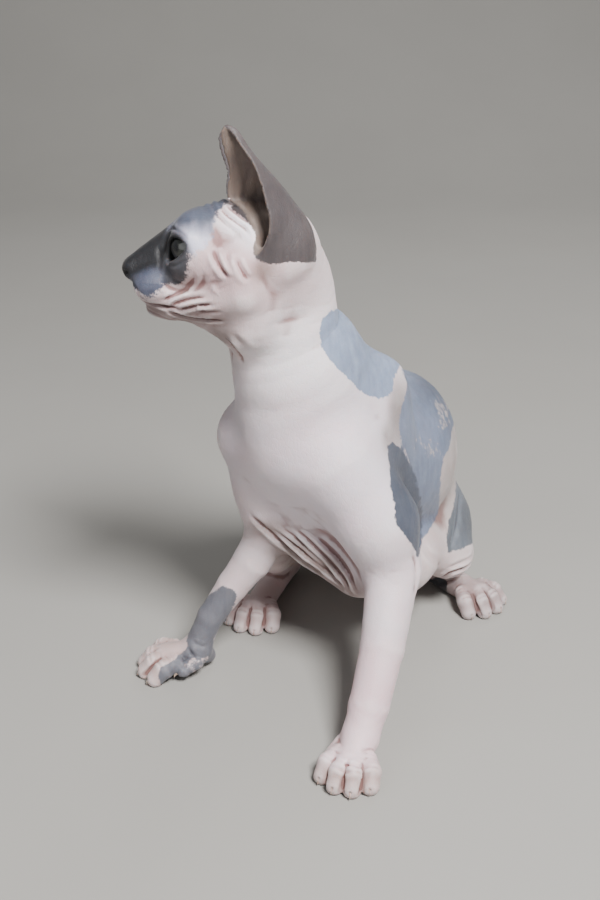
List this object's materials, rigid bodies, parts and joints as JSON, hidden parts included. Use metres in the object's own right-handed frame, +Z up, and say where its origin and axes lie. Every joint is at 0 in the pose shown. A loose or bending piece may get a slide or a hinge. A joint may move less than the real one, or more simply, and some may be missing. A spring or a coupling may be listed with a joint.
{
  "type": "sphynx cat, sitting",
  "caption": "Life-size sitting sphynx cat: hairless wrinkled pale skin with blue-grey patches, head turned to its right.",
  "frame": {"origin": "centre of the bounding box's underside, on the floor", "axes": "+Z up; -Y is the side the cat's hips and left forepaw point to, +Y runs back to the tail, the face looks along -X"},
  "size_m": [0.2335, 0.3605, 0.3335],
  "materials": {
    "skin": "satin",
    "ear_skin": "satin",
    "eye": "gloss"
  },
  "bodies": {
    "root": {"head": "skin", "left_eye": "eye", "right_eye": "eye", "left_ear": "ear_skin", "right_ear": "ear_skin", "neck": "skin", "chest": "skin", "hindquarters": "skin", "tail": "skin", "left_foreleg": "skin", "left_forepaw": "skin", "right_foreleg": "skin", "right_forepaw": "skin", "left_hindleg": "skin", "left_hindpaw": "skin", "right_hindleg": "skin", "right_hindpaw": "skin"}
  },
  "joints": []
}
